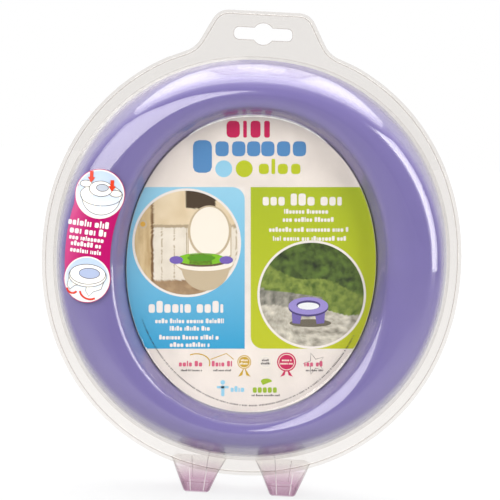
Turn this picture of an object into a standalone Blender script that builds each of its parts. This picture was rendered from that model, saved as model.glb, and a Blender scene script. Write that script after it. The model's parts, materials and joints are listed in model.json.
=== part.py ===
"""Folding travel potty in its clear hanging pack, with every moulding, hinge part and packed item a solid.

+X is the viewer's right, the seat faces -Y and +Z is up. The pack stands on its formed feet at z = 0.
"Depth" is the distance in front of the seat's back edge, which lies in the plane y = BACK_Y.
"""

import math

import bmesh
import bpy
from mathutils import Vector
from mathutils.geometry import delaunay_2d_cdt

# Outlines are superellipses round the seat's centre
SEGMENTS = 64
OUTLINE_POWER = 2.08
CENTRE_Z = 0.140
OPENING_DROP = 0.0017  # the opening sits this far below the seat's centre

# The seat's outer skin: half width, half height, depth and share of the opening's drop
SKIRT = ((0.1200, 0.1224, 0.0, 0), (0.1180, 0.1178, 0.018, 0), (0.1140, 0.1108, 0.034, 0))
CROWN = ((0.1127, 0.1085, 0.0378, 0), (0.1095, 0.1058, 0.0403, 0), (0.0970, 0.1012, 0.042, 0.5))
LIP = ((0.0860, 0.0972, 0.0409, 1), (0.0822, 0.0950, 0.0392, 1), (0.0806, 0.0939, 0.0362, 1))
INNER_WALL = ((0.0763, 0.0904, 0.025, 1), (0.0759, 0.0900, 0.014, 1))
CREST_DEPTH = CROWN[-1][2]
SEAT_WALL = 0.0025

# Under frame: a plate inside the skirt, and a collar that carries the inner wall to the back
FRAME_HALF_WIDTH = 0.1164
FRAME_HALF_HEIGHT = 0.1180
FRAME_BACK = 0.001
FRAME_WALL = 0.0024
GAP = 0.0003

# Screw bosses stand round the middle of the channel under the crown
BOSS_HALF_WIDTH = 0.097
BOSS_HALF_HEIGHT = 0.1012
BOSS_RADIUS = 0.0035
BOSS_COUNT = 6
BOSS_BITE = 0.0004  # how far a boss runs into the crown's wall
PILOT_RADIUS = 0.0018
PILOT_DEPTH = 0.016
SCREW_RADIUS = 0.0015
SCREW_HEAD_RADIUS = 0.0032
SCREW_HEAD = 0.0018
SCREW_LENGTH = 0.012

# Hinges: the axes run along Z, beside the opening and behind the seat
HINGE_X = 0.105
HINGE_BEHIND = 0.008
LUG_HALF = 0.005
LUG_NEAR = 0.0305
LUG_FAR = 0.0375
PIN_RADIUS = 0.002
PIN_BORE = 0.0023
PIN_HEAD_RADIUS = 0.0032
PIN_HEAD = 0.0012
PIN_REACH = 0.014  # how far a pin runs into the leg's knuckle

# Legs, measured from the hinge axis towards the free end
LEG_HALF_THICKNESS = 0.005
LEG_LENGTH = 0.094
KNUCKLE_HALF = 0.0302
LEG_SIDE = (
    (0.0, KNUCKLE_HALF, 0.0),
    (0.0072, KNUCKLE_HALF, 0.0),
    (0.0095, 0.043, 0.004),
    (0.042, 0.078, 0.022),
    (LEG_LENGTH, 0.069, 0.015),
)
HAND_HOLE = (0.062, 0.084, 0.040, 0.0105)  # near edge, far edge, half length, corner radius
POCKET = (0.012, 0.034, 0.004, 0.046)  # near edge, far edge, inner side, outer side
POCKET_FLOOR = 0.003
STRIP = (0.038, 0.052, 0.045)  # near edge, far edge, half length
STRIP_THICKNESS = 0.0009
RUBBER_FOOT = (0.0025, 0.015, 0.00325)  # height, half length, half width
RUBBER_FOOT_AT = 0.045

# Pack: formed clear sheet that follows the seat's skin
SHEET = 0.0008
SHEET_GAP = 0.001
FLANGE_HALF_WIDTH = 0.129
FLANGE_HALF_HEIGHT = 0.134
FLANGE_DEPTH = -0.0001
WALL_BASE_HALF_WIDTH = 0.1216
WALL_BASE_HALF_HEIGHT = 0.1240
TAB_TOP = 0.152
TAB_TOP_HALF = 0.028
TAB_BASE_HALF = 0.041
TAB_CORNER = 0.011
TAB_FILLET = 0.017
SLOT_AT = 0.1382
SLOT_HALF_LENGTH = 0.01785
SLOT_HALF_HEIGHT = 0.0037
SLOT_ROUND = 0.0066
SLOT_CORNER = 0.003
FOOT_AT = 0.026
FOOT_BOTTOM_HALF = 0.0085
FOOT_TOP_HALF = 0.015
FOOT_TOP = -0.1245
FOOT_CORNER = 0.002
FOOT_DRAFT = 0.001
FOOT_FRONT = 0.034
FOOT_BACK = -0.012
REAR_OPENING_HALF_WIDTH = 0.1175
REAR_OPENING_HALF_HEIGHT = 0.1199

# Printed card, label and the packed soft goods
CARD_HALF_WIDTH = 0.0752
CARD_HALF_HEIGHT = 0.0893
CARD_FRONT = 0.025
CARD_THICKNESS = 0.0005
PANEL_HALF_WIDTH = 0.0748
PANEL_HALF_HEIGHT = 0.0889
LABEL_THICKNESS = 0.0003
LABEL_GAP = 0.0004
LABEL_TOP = (-0.0919, 0.0369, 0.0150)  # centre x, centre z and radius of the label's upper disc
LABEL_BOTTOM = (-0.0971, -0.0140, 0.0140)
LABEL_OUTER = 0.985  # the banner's edges, as shares of the crown's outer edge
LABEL_INNER = 0.745
GOODS_HALF_WIDTH = 0.050
GOODS_HALF_HEIGHT = 0.058
GOODS_CORNER = 0.014
GOODS_GAP = 0.0004
LINER_THICKNESS = 0.004
BAG_THICKNESS = 0.007

# The pack's front is the label's face over the crest, and its back is the folded legs
FRONT_DEPTH = CREST_DEPTH + SHEET_GAP + SHEET + LABEL_GAP + LABEL_THICKNESS
BACK_Y = (FRONT_DEPTH - HINGE_BEHIND - LEG_HALF_THICKNESS) / 2
HINGE_Y = BACK_Y + HINGE_BEHIND


def clear_scene():
    for obj in list(bpy.data.objects):
        bpy.data.objects.remove(obj, do_unlink=True)


def new_collection(name):
    collection = bpy.data.collections.new(name)
    bpy.context.scene.collection.children.link(collection)
    return collection


def new_material(name, colour, roughness, metallic=0.0, alpha=1.0):
    material = bpy.data.materials.new(name)
    material.use_nodes = True
    shader = material.node_tree.nodes["Principled BSDF"]
    shader.inputs["Base Color"].default_value = (*colour, 1.0)
    shader.inputs["Roughness"].default_value = roughness
    shader.inputs["Metallic"].default_value = metallic
    shader.inputs["Alpha"].default_value = alpha
    return material


def new_object(name, bm, material):
    mesh = bpy.data.meshes.new(name)
    bm.to_mesh(mesh)
    bm.free()
    mesh.shade_smooth()
    mesh.set_sharp_from_angle(angle=math.radians(40))
    if material is not None:
        mesh.materials.append(material)
    obj = bpy.data.objects.new(name, mesh)
    (PARTS if material is not None else CUTTERS).objects.link(obj)
    if material is None:
        obj.hide_render = True
        obj.display_type = "WIRE"
    return obj


# Outlines: lists of (x, z) points round the seat's centre, anticlockwise as the viewer sees them


def superellipse(half_width, half_height, drop=0.0, turns=None):
    turns = turns or [math.tau * i / SEGMENTS for i in range(SEGMENTS)]
    power = 2 / OUTLINE_POWER
    points = []
    for turn in turns:
        across, up = math.cos(turn), math.sin(turn)
        x = half_width * math.copysign(abs(across) ** power, across)
        z = half_height * math.copysign(abs(up) ** power, up)
        points.append(Vector((x, z - drop * OPENING_DROP)))
    return points


def rounded(corners, steps=4):
    """Straight lines through corners given as (x, z, radius), each corner turned into an arc."""
    points = []
    for i, (x, z, radius) in enumerate(corners):
        corner = Vector((x, z))
        before = (Vector(corners[i - 1][:2]) - corner).normalized()
        after = (Vector(corners[(i + 1) % len(corners)][:2]) - corner).normalized()
        if radius == 0:
            points.append(corner)
            continue
        half = before.angle(after) / 2
        centre = corner + (before + after).normalized() * radius / math.sin(half)
        start = corner + before * radius / math.tan(half) - centre
        end = corner + after * radius / math.tan(half) - centre
        turn = math.atan2(start.cross(end), start.dot(end))
        for step in range(steps + 1):
            c, s = math.cos(turn * step / steps), math.sin(turn * step / steps)
            points.append(centre + Vector((start.x * c - start.y * s, start.x * s + start.y * c)))
    return points


def box_outline(left, right, low, high, radius):
    corners = ((left, low), (right, low), (right, high), (left, high))
    return rounded([(x, z, radius) for x, z in corners])


def flange_outline():
    """The pack's edge: a superellipse with the hang tab blended into its top."""
    lean = math.acos((TAB_BASE_HALF / FLANGE_HALF_WIDTH) ** (OUTLINE_POWER / 2))
    steps = 5 * SEGMENTS // 6
    sweep = math.tau - (math.pi - 2 * lean)
    turns = [math.pi - lean + sweep * i / steps for i in range(steps + 1)]
    edge = superellipse(FLANGE_HALF_WIDTH, FLANGE_HALF_HEIGHT, turns=turns)
    corners = [(x, z, 0) for x, z in edge]
    corners[0] = (*edge[0], TAB_FILLET)
    corners[-1] = (*edge[-1], TAB_FILLET)
    corners += [(TAB_TOP_HALF, TAB_TOP, TAB_CORNER), (-TAB_TOP_HALF, TAB_TOP, TAB_CORNER)]
    return rounded(corners)


def slot_outline():
    """The hang tab's slot: a flat slot with a round hole through its middle."""
    rise = math.asin(SLOT_HALF_HEIGHT / SLOT_ROUND)
    corners = []
    for side in (1, -1):
        for step in range(7):
            turn = rise + (math.pi - 2 * rise) * step / 6
            x, z = side * SLOT_ROUND * math.cos(turn), side * SLOT_ROUND * math.sin(turn)
            corners.append((x, z, 0))
        corners.append((-side * SLOT_HALF_LENGTH, side * SLOT_HALF_HEIGHT, SLOT_CORNER))
        corners.append((-side * SLOT_HALF_LENGTH, -side * SLOT_HALF_HEIGHT, SLOT_CORNER))
    return [point + Vector((0, SLOT_AT)) for point in rounded(corners)]


def foot_outline(side, draft):
    """A formed foot, as a trapezoid that stands on z = 0."""
    top, bottom, low = FOOT_TOP_HALF - draft, FOOT_BOTTOM_HALF - draft, -CENTRE_Z
    middle = side * FOOT_AT
    return rounded(
        [
            (middle - bottom, low, FOOT_CORNER),
            (middle + bottom, low, FOOT_CORNER),
            (middle + top, FOOT_TOP - draft, FOOT_CORNER),
            (middle - top, FOOT_TOP - draft, FOOT_CORNER),
        ],
        steps=2,
    )


def label_outline():
    """The side label: two discs joined by a banner that follows the crown's outer edge."""
    rim_width, rim_height = CROWN[0][0], CROWN[0][1]
    top_x, top_z, top_radius = LABEL_TOP
    bottom_x, bottom_z, bottom_radius = LABEL_BOTTOM

    def banner(share, start_z, end_z):
        points = []
        for step in range(9):
            z = start_z + (end_z - start_z) * step / 8
            across = (1 - abs(z / (share * rim_height)) ** OUTLINE_POWER) ** (1 / OUTLINE_POWER)
            points.append(Vector((-share * rim_width * across, z)))
        return points

    def disc(x, z, radius, start, end):
        turns = [math.radians(start + (end - start) * step / 12) for step in range(13)]
        return [Vector((x + radius * math.cos(t), z + radius * math.sin(t))) for t in turns]

    inner = banner(LABEL_INNER, bottom_z + 0.002, top_z - 0.008)
    outer = banner(LABEL_OUTER, top_z - 0.006, bottom_z + 0.004)
    upper = disc(top_x, top_z, top_radius, -25, 185)
    lower = disc(bottom_x, bottom_z, bottom_radius, 170, 370)
    return inner + upper + outer + lower


# Solids


def at(point, depth):
    return Vector((point[0], BACK_Y - depth, CENTRE_Z + point[1]))


def loft(levels, cap=False):
    """A skin over equal-length outlines, each given with its depth, and closed across the last one."""
    bm = bmesh.new()
    rings = [[bm.verts.new(at(point, depth)) for point in outline] for outline, depth in levels]
    for ring, following in zip(rings, rings[1:]):
        for i in range(len(ring)):
            j = (i + 1) % len(ring)
            bm.faces.new((ring[i], ring[j], following[j], following[i]))
    if cap:
        bm.faces.new(rings[-1])
    return bm


def prism(outline, front, back):
    """A flat outline carried straight through, from the depth front to the smaller depth back."""
    bm = loft([(outline, back), (outline, front)], cap=True)
    edges = [edge for edge in bm.edges if edge.is_boundary]
    bmesh.ops.holes_fill(bm, edges=edges)
    bmesh.ops.recalc_face_normals(bm, faces=bm.faces)
    return bm


def cylinders(places, radius, front, back, sides=16):
    bm = bmesh.new()
    for x, z in places:
        made = bmesh.ops.create_cone(
            bm, cap_ends=True, segments=sides, radius1=radius, radius2=radius, depth=front - back
        )
        for vert in made["verts"]:
            x_here, z_here, along = vert.co
            vert.co = (x + x_here, BACK_Y - (front + back) / 2 + along, CENTRE_Z + z - z_here)
    bmesh.ops.recalc_face_normals(bm, faces=bm.faces)
    return bm


def inside(point, outline):
    """Whether a line to the right from the point crosses the outline an odd number of times."""
    crossings = 0
    for i, a in enumerate(outline):
        b = outline[(i + 1) % len(outline)]
        if (a[1] > point[1]) != (b[1] > point[1]):
            crossings += point[0] < a[0] + (b[0] - a[0]) * (point[1] - a[1]) / (b[1] - a[1])
    return crossings % 2 == 1


def formed_skin(edge, holes, loops):
    """A skin inside one flat edge and round flat holes, lifted to each loop's own depth."""
    points, depths, lines = [], [], []
    for outline, depth in [edge, *holes, *loops]:
        first = len(points)
        points += [Vector(point) for point in outline]
        depths += [depth] * len(outline)
        lines += [(first + i, first + (i + 1) % len(outline)) for i in range(len(outline))]
    places, _, faces, origins, _, _ = delaunay_2d_cdt(points, lines, [], 0, 1e-7)
    bm = bmesh.new()
    verts = [bm.verts.new(at(p, depths[o[0]])) for p, o in zip(places, origins)]
    for face in faces:
        middle = sum((places[i] for i in face), Vector((0, 0))) / len(face)
        if inside(middle, edge[0]) and not any(inside(middle, hole) for hole, _ in holes):
            bm.faces.new([verts[i] for i in face])
    return bm


def thicken(obj, thickness, offset):
    """Offset 1 adds the thickness in front of the skin's faces, and -1 behind them."""
    modifier = obj.modifiers.new("Thickness", "SOLIDIFY")
    modifier.thickness = thickness
    modifier.offset = offset
    modifier.use_even_offset = True


def combine(obj, operation, bm):
    other = new_object(f"{obj.name}_{operation.lower()}", bm, None)
    modifier = obj.modifiers.new(operation.title(), "BOOLEAN")
    modifier.operation = operation
    modifier.solver = "EXACT"
    modifier.object = other
    return other


def bevel(obj, width, segments=2):
    modifier = obj.modifiers.new("Edges", "BEVEL")
    modifier.width = width
    modifier.segments = segments
    modifier.limit_method = "ANGLE"
    modifier.angle_limit = math.radians(50)


def turned(name, profile, material):
    """A round piece from a profile of (radius, height) that runs down its outer side."""
    bm = bmesh.new()
    verts = [bm.verts.new((radius, 0, height)) for radius, height in profile]
    for a, b in zip(verts, verts[1:]):
        bm.edges.new((a, b))
    obj = new_object(name, bm, material)
    screw = obj.modifiers.new("Turn", "SCREW")
    screw.steps = screw.render_steps = 16
    screw.use_merge_vertices = True
    screw.merge_threshold = 0.00001
    screw.use_smooth_shade = True
    return obj


# The seat


def offset_profile(distance):
    """The seat's outer skin moved out by a distance, from the skirt to the inner wall's first point."""
    skin = [*SKIRT, *CROWN, *LIP, INNER_WALL[0]]
    moved = []
    for i, (width, height, depth, drop) in enumerate(skin):
        before, after = skin[max(i - 1, 0)], skin[min(i + 1, len(skin) - 1)]
        outward = Vector((after[2] - before[2], (before[0] + before[1] - after[0] - after[1]) / 2))
        shift = outward.normalized() * distance
        moved.append((width + shift.x, height + shift.x, depth + shift.y, drop))
    return moved


def boss_places():
    turns = [math.radians(30) + math.tau * i / BOSS_COUNT for i in range(BOSS_COUNT)]
    return superellipse(BOSS_HALF_WIDTH, BOSS_HALF_HEIGHT, 0.5, turns)


def seat_shell(material):
    skin = [*SKIRT, *CROWN, *LIP, *INNER_WALL]
    levels = [(superellipse(w, h, drop), depth) for w, h, depth, drop in skin]
    shell = new_object("seat_shell", loft(levels), material)
    thicken(shell, SEAT_WALL, -1)
    behind = superellipse(FLANGE_HALF_WIDTH, FLANGE_HALF_HEIGHT)
    combine(shell, "DIFFERENCE", prism(behind, 0, -SEAT_WALL))
    boss_end = CREST_DEPTH - SEAT_WALL + BOSS_BITE
    boss_start = FRAME_BACK + FRAME_WALL + GAP
    combine(shell, "UNION", cylinders(boss_places(), BOSS_RADIUS, boss_end, boss_start))
    combine(shell, "DIFFERENCE", cylinders(boss_places(), PILOT_RADIUS, PILOT_DEPTH, 0, 14))


def lug(side, end):
    """One hinge lug: a block from the plate to the hinge axis with a round end."""
    bm = bmesh.new()
    turns = [math.pi * step / 8 for step in range(9)]
    outline = [Vector((LUG_HALF * math.cos(t), LUG_HALF * math.sin(t))) for t in turns]
    foot = BACK_Y - FRAME_BACK - FRAME_WALL / 2 - HINGE_Y
    outline += [Vector((-LUG_HALF, foot)), Vector((LUG_HALF, foot))]
    layers = []
    for z in sorted((end * LUG_NEAR, end * LUG_FAR)):
        layers.append([bm.verts.new((side * HINGE_X + p.x, HINGE_Y + p.y, CENTRE_Z + z)) for p in outline])
    bm.faces.new(layers[0][::-1])
    bm.faces.new(layers[1])
    for i in range(len(outline)):
        j = (i + 1) % len(outline)
        bm.faces.new((layers[0][i], layers[0][j], layers[1][j], layers[1][i]))
    return bm


def rod(side, low, high, radius):
    """A cylinder on one side's hinge axis, between two heights from the seat's centre."""
    bm = bmesh.new()
    made = bmesh.ops.create_cone(
        bm, cap_ends=True, segments=16, radius1=radius, radius2=radius, depth=high - low
    )
    middle = Vector((side * HINGE_X, HINGE_Y, CENTRE_Z + (low + high) / 2))
    bmesh.ops.translate(bm, verts=made["verts"], vec=middle)
    return bm


def under_frame(material):
    wall, collar_front = INNER_WALL[-1], INNER_WALL[-1][2] - GAP
    collar = superellipse(wall[0], wall[1], 1)
    plate = superellipse(FRAME_HALF_WIDTH, FRAME_HALF_HEIGHT)
    levels = [(collar, collar_front), (collar, FRAME_BACK), (plate, FRAME_BACK)]
    frame = new_object("under_frame", loft(levels), material)
    thicken(frame, FRAME_WALL, -1)
    for side in (-1, 1):
        for end in (-1, 1):
            combine(frame, "UNION", lug(side, end))
        bore = LUG_FAR + LUG_HALF
        combine(frame, "DIFFERENCE", rod(side, -bore, bore, PIN_BORE))
    holes = cylinders(boss_places(), PILOT_RADIUS, FRAME_BACK + 2 * FRAME_WALL, -FRAME_WALL, 14)
    combine(frame, "DIFFERENCE", holes)


def screws(material):
    shank_end = -SCREW_LENGTH
    profile = (
        (0, SCREW_HEAD),
        (SCREW_HEAD_RADIUS * 0.7, SCREW_HEAD),
        (SCREW_HEAD_RADIUS, SCREW_HEAD * 0.4),
        (SCREW_HEAD_RADIUS, 0),
        (SCREW_RADIUS, 0),
        (SCREW_RADIUS, shank_end + SCREW_RADIUS),
        (0, shank_end),
    )
    for number, (x, z) in enumerate(boss_places(), 1):
        screw = turned(f"frame_screw_{number}", profile, material)
        screw.location = at((x, z), FRAME_BACK - GAP)
        screw.rotation_euler.x = math.radians(-90)


def hinge_pins(material):
    head_top = LUG_FAR + GAP + PIN_HEAD
    profile = (
        (0, head_top),
        (PIN_HEAD_RADIUS, head_top),
        (PIN_HEAD_RADIUS, LUG_FAR + GAP),
        (PIN_RADIUS, LUG_FAR + GAP),
        (PIN_RADIUS, KNUCKLE_HALF - PIN_REACH),
        (0, KNUCKLE_HALF - PIN_REACH),
    )
    for side, side_name in ((-1, "left"), (1, "right")):
        for end, end_name in ((1, "upper"), (-1, "lower")):
            pin = turned(f"{side_name}_hinge_pin_{end_name}", profile, material)
            pin.location = (side * HINGE_X, HINGE_Y, CENTRE_Z)
            pin.rotation_euler.x = 0 if end == 1 else math.pi


# The legs: outlines run from the hinge axis towards the opening's middle line


def hinge_empty(side, side_name):
    empty = bpy.data.objects.new(f"{side_name}_hinge_axis", None)
    empty.location = (side * HINGE_X, HINGE_Y, CENTRE_Z)
    PARTS.objects.link(empty)
    return empty


def hang_on(obj, empty):
    """Parents the piece to the hinge's empty, with the piece left where it is."""
    obj.parent = empty
    obj.matrix_parent_inverse.translation = -empty.location


def mirrored(points, side):
    """Leg points turned to the seat's side: they run towards +X on the left and -X on the right."""
    turned_points = [Vector((side * HINGE_X - side * p[0], p[1])) for p in points]
    return turned_points if side < 0 else turned_points[::-1]


def leg(side, side_name, empty, material):
    front, back = -HINGE_BEHIND + LEG_HALF_THICKNESS, -HINGE_BEHIND - LEG_HALF_THICKNESS
    half = list(LEG_SIDE)
    corners = [(u, -v, r) for u, v, r in half] + [(u, v, r) for u, v, r in half[::-1]]
    name = f"{side_name}_leg"
    obj = new_object(name, prism(mirrored(rounded(corners), side), front, back), material)
    bevel(obj, 0.0014)
    knuckle = KNUCKLE_HALF - 0.0001
    combine(obj, "UNION", rod(side, -knuckle, knuckle, LEG_HALF_THICKNESS))
    near, far, reach, radius = HAND_HOLE
    hole = mirrored(box_outline(near, far, -reach, reach, radius), side)
    combine(obj, "DIFFERENCE", prism(hole, front + SEAT_WALL, back - SEAT_WALL))
    near, far, inner, outer = POCKET
    for end in (-1, 1):
        low, high = sorted((end * inner, end * outer))
        pocket = mirrored(box_outline(near, far, low, high, 0.004), side)
        combine(obj, "DIFFERENCE", prism(pocket, front + SEAT_WALL, back + POCKET_FLOOR))
        bore = sorted((end * (KNUCKLE_HALF + PIN_RADIUS), end * (KNUCKLE_HALF - PIN_REACH - GAP)))
        combine(obj, "DIFFERENCE", rod(side, *bore, PIN_BORE))
    hang_on(obj, empty)


def leg_rubber(side, side_name, empty, material):
    front = -HINGE_BEHIND + LEG_HALF_THICKNESS
    near, far, reach = STRIP
    strip = mirrored(box_outline(near, far, -reach, reach, 0.004), side)
    solid = prism(strip, front + GAP + STRIP_THICKNESS, front + GAP)
    hang_on(new_object(f"{side_name}_grip_strip", solid, material), empty)
    height, half_length, half_width = RUBBER_FOOT
    start = LEG_LENGTH + GAP
    for end, end_name in ((1, "upper"), (-1, "lower")):
        middle = end * RUBBER_FOOT_AT
        outline = ((start, middle - half_length), (start + height, middle - half_length + 0.001))
        outline += ((start + height, middle + half_length - 0.001), (start, middle + half_length))
        solid = prism(mirrored(outline, side), half_width - HINGE_BEHIND, -half_width - HINGE_BEHIND)
        obj = new_object(f"{side_name}_rubber_foot_{end_name}", solid, material)
        bevel(obj, 0.0005, 1)
        hang_on(obj, empty)


# The pack


def foot_pocket(side, start, end):
    """A formed foot: a hollow box that narrows a little away from the flange and is open there."""
    levels = [(foot_outline(side, 0), start), (foot_outline(side, FOOT_DRAFT), end)]
    bm = loft(levels, cap=True)
    if end < start:
        bmesh.ops.reverse_faces(bm, faces=bm.faces)
    return bm


def add_feet(obj, start, end):
    for side in (-1, 1):
        foot = combine(obj, "UNION", foot_pocket(side, start, end))
        thicken(foot, SHEET, -1)


def front_blister(material):
    dome = [(superellipse(WALL_BASE_HALF_WIDTH, WALL_BASE_HALF_HEIGHT), FLANGE_DEPTH)]
    for width, height, depth, drop in offset_profile(SHEET_GAP)[1:-1]:
        dome.append((superellipse(width, height, drop), depth))
    dome.append((superellipse(PANEL_HALF_WIDTH, PANEL_HALF_HEIGHT, 1), CARD_FRONT + GAP))
    edge, slot = (flange_outline(), FLANGE_DEPTH), (slot_outline(), FLANGE_DEPTH)
    blister = new_object("front_blister", formed_skin(edge, [slot], dome), material)
    thicken(blister, SHEET, 1)
    add_feet(blister, FLANGE_DEPTH + SHEET / 2, FOOT_FRONT)


def rear_frame(material):
    depth = FLANGE_DEPTH - GAP - SHEET
    opening = superellipse(REAR_OPENING_HALF_WIDTH, REAR_OPENING_HALF_HEIGHT)
    holes = [(slot_outline(), depth), (opening, depth)]
    frame = new_object("rear_frame", formed_skin((flange_outline(), depth), holes, []), material)
    thicken(frame, SHEET, 1)
    add_feet(frame, depth + SHEET / 2, FOOT_BACK)


def insert_card(material):
    outline = superellipse(CARD_HALF_WIDTH, CARD_HALF_HEIGHT, 1)
    new_object("insert_card", prism(outline, CARD_FRONT, CARD_FRONT - CARD_THICKNESS), material)


def side_label(material):
    """The label is the part of a skin over the dome that lies inside the label's outline."""
    skin = offset_profile(SHEET_GAP + SHEET + LABEL_GAP)
    levels = [(superellipse(width, height, drop), depth) for width, height, depth, drop in skin]
    label = new_object("side_label", loft(levels), material)
    thicken(label, LABEL_THICKNESS, 1)
    combine(label, "INTERSECT", prism(label_outline(), FRONT_DEPTH + SHEET, 0))


def soft_goods(liner_material, bag_material):
    outline = box_outline(
        -GOODS_HALF_WIDTH, GOODS_HALF_WIDTH, -GOODS_HALF_HEIGHT, GOODS_HALF_HEIGHT, GOODS_CORNER
    )
    outline = [point - Vector((0, OPENING_DROP)) for point in outline]
    front = CARD_FRONT - CARD_THICKNESS - GOODS_GAP
    items = [(f"liner_{n}", LINER_THICKNESS, liner_material) for n in (1, 2, 3)]
    for name, thickness, material in [*items, ("travel_bag", BAG_THICKNESS, bag_material)]:
        obj = new_object(name, prism(outline, front, front - thickness), material)
        bevel(obj, 0.001)
        front -= thickness + GOODS_GAP


clear_scene()
PARTS = new_collection("folding_travel_potty")
CUTTERS = new_collection("cutters")

purple = new_material("seat_plastic", (0.26, 0.21, 0.52), 0.25)
deep_purple = new_material("frame_plastic", (0.22, 0.17, 0.45), 0.35)
steel = new_material("pin_steel", (0.6, 0.6, 0.62), 0.3, metallic=1.0)
rubber = new_material("grip_rubber", (0.12, 0.11, 0.13), 0.8)
clear = new_material("clear_sheet", (0.9, 0.89, 0.87), 0.08, alpha=0.3)
card = new_material("printed_card", (0.87, 0.85, 0.82), 0.4)
label = new_material("printed_label", (0.55, 0.01, 0.16), 0.35)
liner = new_material("liner_film", (0.8, 0.85, 0.8), 0.55)
bag = new_material("bag_fabric", (0.35, 0.3, 0.6), 0.9)

seat_shell(purple)
under_frame(deep_purple)
screws(steel)
hinge_pins(steel)
for x_side, word in ((-1, "left"), (1, "right")):
    axis_empty = hinge_empty(x_side, word)
    leg(x_side, word, axis_empty, purple)
    leg_rubber(x_side, word, axis_empty, rubber)
front_blister(clear)
rear_frame(clear)
insert_card(card)
side_label(label)
soft_goods(liner, bag)
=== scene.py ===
"""Looks for the folding travel potty in its clear hanging pack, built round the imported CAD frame."""

import json
import math
import random

import bmesh
import bpy
import numpy as np
from mathutils import Matrix, Vector, noise
from mathutils.geometry import delaunay_2d_cdt


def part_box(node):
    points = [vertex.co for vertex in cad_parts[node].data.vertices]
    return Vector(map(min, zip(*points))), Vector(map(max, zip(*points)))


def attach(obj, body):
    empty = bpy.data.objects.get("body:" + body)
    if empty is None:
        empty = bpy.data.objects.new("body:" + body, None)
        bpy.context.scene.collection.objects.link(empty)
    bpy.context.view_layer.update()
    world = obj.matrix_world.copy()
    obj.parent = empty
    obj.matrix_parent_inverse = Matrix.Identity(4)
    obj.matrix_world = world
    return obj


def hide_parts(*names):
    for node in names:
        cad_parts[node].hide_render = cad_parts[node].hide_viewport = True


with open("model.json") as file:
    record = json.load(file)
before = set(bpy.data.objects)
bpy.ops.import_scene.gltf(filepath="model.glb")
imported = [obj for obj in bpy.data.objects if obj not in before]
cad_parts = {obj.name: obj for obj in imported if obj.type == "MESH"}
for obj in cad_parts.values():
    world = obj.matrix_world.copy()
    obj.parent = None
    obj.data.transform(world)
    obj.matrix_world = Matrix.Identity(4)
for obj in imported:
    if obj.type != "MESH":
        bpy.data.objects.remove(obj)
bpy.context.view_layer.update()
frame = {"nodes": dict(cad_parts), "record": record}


def middle_and_half(node):
    low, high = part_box(node)
    return (low + high) / 2, (high - low) / 2


# Places that the frame gives
SEAT_MIDDLE, SEAT_HALF = middle_and_half("seat_shell")
CARD_MIDDLE, CARD_HALF = middle_and_half("insert_card")
PACK_LOW, PACK_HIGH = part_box("front_blister")
REAR_LOW, REAR_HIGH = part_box("rear_frame")
BACK_Y = SEAT_MIDDLE.y + SEAT_HALF.y
CENTRE_Z = SEAT_MIDDLE.z
DROP = CENTRE_Z - CARD_MIDDLE.z
CARD_FRONT_Y = CARD_MIDDLE.y - CARD_HALF.y
CARD_FRONT = BACK_Y - CARD_FRONT_Y

# The seat's skin from its back edge to the collar: half width, half height, depth, share of the drop
OUTLINE_POWER = 2.08
SKIN = (
    (0.1200, 0.1224, 0.0000, 0),
    (0.1180, 0.1178, 0.0180, 0),
    (0.1142, 0.1111, 0.0340, 0),
    (0.1134, 0.1098, 0.0362, 0),
    (0.1118, 0.1082, 0.0380, 0),
    (0.1090, 0.1062, 0.0396, 0.1),
    (0.1050, 0.1043, 0.0409, 0.25),
    (0.0970, 0.1012, 0.0420, 0.5),
    (0.0860, 0.0972, 0.0409, 1),
    (0.0822, 0.0950, 0.0392, 1),
    (0.0806, 0.0939, 0.0362, 1),
    (0.0763, 0.0904, 0.0250, 1),
    (0.0759, 0.0900, 0.0142, 1),
)
SEAT_WALL = 0.0025
ROUND = 192  # points round an outline

# Pack
SHEET = 0.0005
SHEET_GAP = 0.0011
HINGE_MIDDLE, LEG_BOX_HALF = middle_and_half("left_leg")
LEG_HALF = LEG_BOX_HALF.y
HINGE_X = -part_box("left_leg")[0].x - LEG_HALF
HINGE_Y = HINGE_MIDDLE.y
HINGE_BEHIND = HINGE_Y - BACK_Y
FLANGE_HALF_WIDTH = (PACK_HIGH.x - PACK_LOW.x) / 2
FLANGE_HALF_HEIGHT = 0.134
WALL_BASE = (0.1216, 0.1240)
PANEL = (0.0748, 0.0889)
# Down the inner wall to the flat window over the card: share of the panel's size, height above it
WINDOW_STEPS = (
    (1.035, 0.0068),
    (1.029, 0.0058),
    (1.026, 0.0052),
    (1.012, 0.0018),
    (1.005, 0.0005),
    (0.996, 0),
    (0.970, 0),
)
TAB_TOP = PACK_HIGH.z - CENTRE_Z
TAB_TOP_HALF = 0.028
TAB_BASE_HALF = 0.041
TAB_CORNER = 0.011
TAB_FILLET = 0.017
SLOT_AT = 0.1382
SLOT_HALF_LENGTH = 0.01785
SLOT_HALF_HEIGHT = 0.0037
SLOT_ROUND = 0.0066
SLOT_CORNER = 0.003
FOOT_AT = 0.026
FOOT_BOTTOM_HALF = 0.0085
FOOT_TOP_HALF = 0.015
FOOT_TOP = -0.1245
FOOT_FRONT = 0.034

# The pack leans in the photographed view, and its card is printed level
LEAN = math.radians(3.0)


# Outlines and levels


def pairs(x, z):
    return np.stack([x, z], axis=1)


def superellipse(half_width, half_height, drop=0.0, turns=None):
    turns = np.arange(ROUND) * math.tau / ROUND if turns is None else np.asarray(turns)
    power = 2 / OUTLINE_POWER
    across, up = np.cos(turns), np.sin(turns)
    x = half_width * np.sign(across) * np.abs(across) ** power
    z = half_height * np.sign(up) * np.abs(up) ** power - drop * DROP
    return pairs(x, z)


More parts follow.
